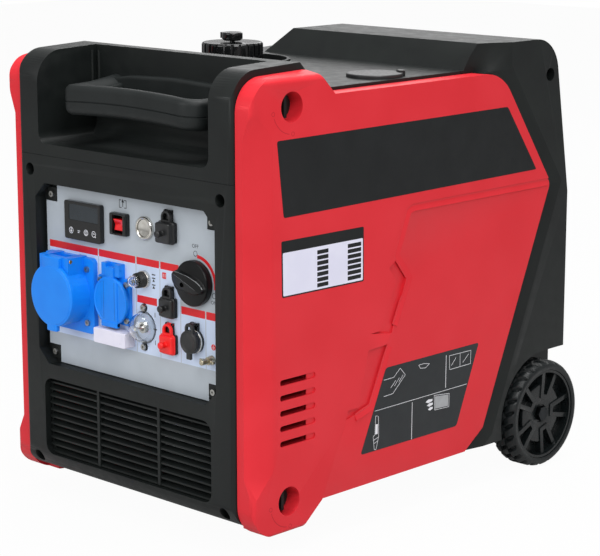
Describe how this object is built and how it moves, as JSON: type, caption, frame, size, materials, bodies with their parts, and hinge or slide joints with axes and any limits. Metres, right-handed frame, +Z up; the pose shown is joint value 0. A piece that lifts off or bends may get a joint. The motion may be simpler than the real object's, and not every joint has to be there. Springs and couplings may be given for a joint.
{
  "type": "inverter generator",
  "caption": "Enclosed portable inverter generator on two wheels, with a recessed carrying grip, a front control plate of capped sockets and latched side covers.",
  "frame": {"origin": "on the ground, under the middle of the machine's bounding box", "axes": "+X to the right as seen from the control plate, +Y from the control plate to the wheels, +Z up"},
  "size_m": [0.392, 0.568, 0.5085],
  "materials": {
    "red_shell": "fine grained",
    "black_shell": "textured",
    "grip_plastic": "textured",
    "plate_metal": "satin silver",
    "blue_plastic": "semi-gloss",
    "black_gloss": "semi-gloss",
    "red_key": "gloss",
    "black_rubber": "matt",
    "red_rubber": "matt",
    "tyre": "matt",
    "hub_plastic": "semi-gloss",
    "clear_plastic": "clear",
    "white_lens": "frosted",
    "bright_metal": "polished",
    "steel": "zinc plated",
    "brass": "turned",
    "cast_metal": "cast",
    "iron": "laminated",
    "heat_steel": "heat-proof paint",
    "tank_metal": "gloss"
  },
  "bodies": {
    "case": {"side_cover_right": "red_shell", "side_cover_left": "red_shell", "front_frame": "black_shell", "intake_grille": "black_shell", "handle_cover": "black_shell", "grip_upper": "grip_plastic", "grip_lower": "grip_plastic", "top_cover": "black_shell", "rear_cover": "black_shell", "base_tray": "heat_steel", "rubber_feet": "black_rubber", "control_plate": "plate_metal", "display_unit": "black_gloss", "rocker_housing": "black_gloss", "start_button_bezel": "bright_metal", "dc_socket": "black_gloss", "parallel_terminals": "black_gloss", "aux_socket": "black_gloss", "industrial_socket": "blue_plastic", "household_socket": "blue_plastic", "panel_lamp": "white_lens", "breaker_body": "bright_metal", "breaker_boot": "clear_plastic", "toggle_body": "steel", "toggle_dome": "clear_plastic", "ground_stud": "brass", "panel_screws": "steel", "case_screws": "steel", "axle": "steel", "engine_block": "cast_metal", "stator": "iron", "muffler": "heat_steel", "fuel_tank": "tank_metal", "inverter_unit": "cast_metal", "battery": "black_gloss", "air_box": "black_shell"},
    "wheel_right": {"tyre_right": "tyre", "hub_right": "hub_plastic"},
    "wheel_left": {"tyre_left": "tyre", "hub_left": "hub_plastic"},
    "latch_upper_right": {"latch_upper_right": "black_shell"},
    "latch_upper_left": {"latch_upper_left": "black_shell"},
    "latch_lower_right": {"latch_lower_right": "black_shell"},
    "latch_lower_left": {"latch_lower_left": "black_shell"},
    "industrial_lid": {"industrial_lid": "blue_plastic"},
    "household_lid": {"household_lid": "blue_plastic"},
    "dc_socket_cap": {"dc_socket_cap": "black_rubber"},
    "black_socket_cap": {"black_socket_cap": "black_rubber"},
    "red_socket_cap": {"red_socket_cap": "red_rubber"},
    "aux_socket_cap": {"aux_socket_cap": "black_rubber"},
    "plug_access_cap": {"plug_access_cap": "black_rubber"},
    "fuel_cap": {"fuel_cap": "black_gloss"},
    "vent_knob": {"vent_knob": "black_gloss"},
    "selector_knob": {"selector_knob": "black_gloss"},
    "rocker_key": {"rocker_key": "red_key"},
    "start_button": {"start_button": "bright_metal"},
    "breaker_button": {"breaker_button": "black_gloss"},
    "toggle_lever": {"toggle_lever": "bright_metal"},
    "ground_nut": {"ground_nut": "steel"},
    "rotor": {"rotor_shaft": "iron"}
  },
  "joints": [
    {"name": "wheel_right_turn", "type": "hinge", "parent": "case", "child": "wheel_right", "pos_m": [0.178, 0.22055, 0.0635], "axis": [1, 0, 0], "continuous": true},
    {"name": "wheel_left_turn", "type": "hinge", "parent": "case", "child": "wheel_left", "pos_m": [-0.178, 0.22055, 0.0635], "axis": [1, 0, 0], "continuous": true},
    {"name": "latch_upper_right_turn", "type": "hinge", "parent": "case", "child": "latch_upper_right", "pos_m": [0.175, -0.20185, 0.4647], "axis": [1, 0, 0], "range_deg": [0, 90]},
    {"name": "latch_upper_left_turn", "type": "hinge", "parent": "case", "child": "latch_upper_left", "pos_m": [-0.175, -0.20185, 0.4647], "axis": [-1, 0, 0], "range_deg": [0, 90]},
    {"name": "latch_lower_right_turn", "type": "hinge", "parent": "case", "child": "latch_lower_right", "pos_m": [0.175, -0.20665, 0.0563], "axis": [1, 0, 0], "range_deg": [0, 90]},
    {"name": "latch_lower_left_turn", "type": "hinge", "parent": "case", "child": "latch_lower_left", "pos_m": [-0.175, -0.20665, 0.0563], "axis": [-1, 0, 0], "range_deg": [0, 90]},
    {"name": "industrial_lid_turn", "type": "hinge", "parent": "case", "child": "industrial_lid", "pos_m": [-0.094, -0.27485, 0.2814], "axis": [-1, 0, 0], "range_deg": [0, 115]},
    {"name": "household_lid_turn", "type": "hinge", "parent": "case", "child": "household_lid", "pos_m": [-0.0227, -0.25795, 0.278], "axis": [-1, 0, 0], "range_deg": [0, 110]},
    {"name": "dc_socket_cap_turn", "type": "hinge", "parent": "case", "child": "dc_socket_cap", "pos_m": [0.0623, -0.25325, 0.3507], "axis": [-1, 0, 0], "range_deg": [0, 80]},
    {"name": "black_socket_cap_turn", "type": "hinge", "parent": "case", "child": "black_socket_cap", "pos_m": [0.062, -0.25325, 0.2702], "axis": [-1, 0, 0], "range_deg": [0, 80]},
    {"name": "red_socket_cap_turn", "type": "hinge", "parent": "case", "child": "red_socket_cap", "pos_m": [0.062, -0.25325, 0.2312], "axis": [-1, 0, 0], "range_deg": [0, 80]},
    {"name": "aux_socket_cap_turn", "type": "hinge", "parent": "case", "child": "aux_socket_cap", "pos_m": [0.1, -0.25325, 0.2375], "axis": [-1, 0, 0], "range_deg": [0, 80]},
    {"name": "plug_access_cap_slide", "type": "slide", "parent": "case", "child": "plug_access_cap", "axis": [0, 0, 1], "range_m": [0, 0.045]},
    {"name": "fuel_cap_slide", "type": "slide", "parent": "case", "child": "fuel_cap", "axis": [0, 0, 1], "range_m": [0, 0.045]},
    {"name": "vent_knob_turn", "type": "hinge", "parent": "fuel_cap", "child": "vent_knob", "pos_m": [-0.098, -0.00345, 0.502], "axis": [0, 0, 1], "range_deg": [0, 180]},
    {"name": "selector_knob_turn", "type": "hinge", "parent": "case", "child": "selector_knob", "pos_m": [0.1022, -0.25845, 0.281], "axis": [0, 1, 0], "range_deg": [0, 90]},
    {"name": "rocker_key_turn", "type": "hinge", "parent": "case", "child": "rocker_key", "pos_m": [-0.013, -0.24945, 0.3275], "axis": [-1, 0, 0], "range_deg": [0, 16]},
    {"name": "start_button_slide", "type": "slide", "parent": "case", "child": "start_button", "axis": [0, 1, 0], "range_m": [0, 0.003], "stiffness_N_per_m": 300},
    {"name": "breaker_button_slide", "type": "slide", "parent": "case", "child": "breaker_button", "axis": [0, 1, 0], "range_m": [0, 0.003], "stiffness_N_per_m": 200},
    {"name": "toggle_lever_turn", "type": "hinge", "parent": "case", "child": "toggle_lever", "pos_m": [0.0214, -0.25145, 0.221], "axis": [1, 0, 0], "range_deg": [-15, 15]},
    {"name": "ground_nut_turn", "type": "hinge", "parent": "case", "child": "ground_nut", "pos_m": [0.1239, -0.25545, 0.203], "axis": [0, 1, 0], "continuous": true},
    {"name": "rotor_turn", "type": "hinge", "parent": "case", "child": "rotor", "pos_m": [0, -0.06345, 0.172], "axis": [0, 1, 0], "continuous": true}
  ]
}
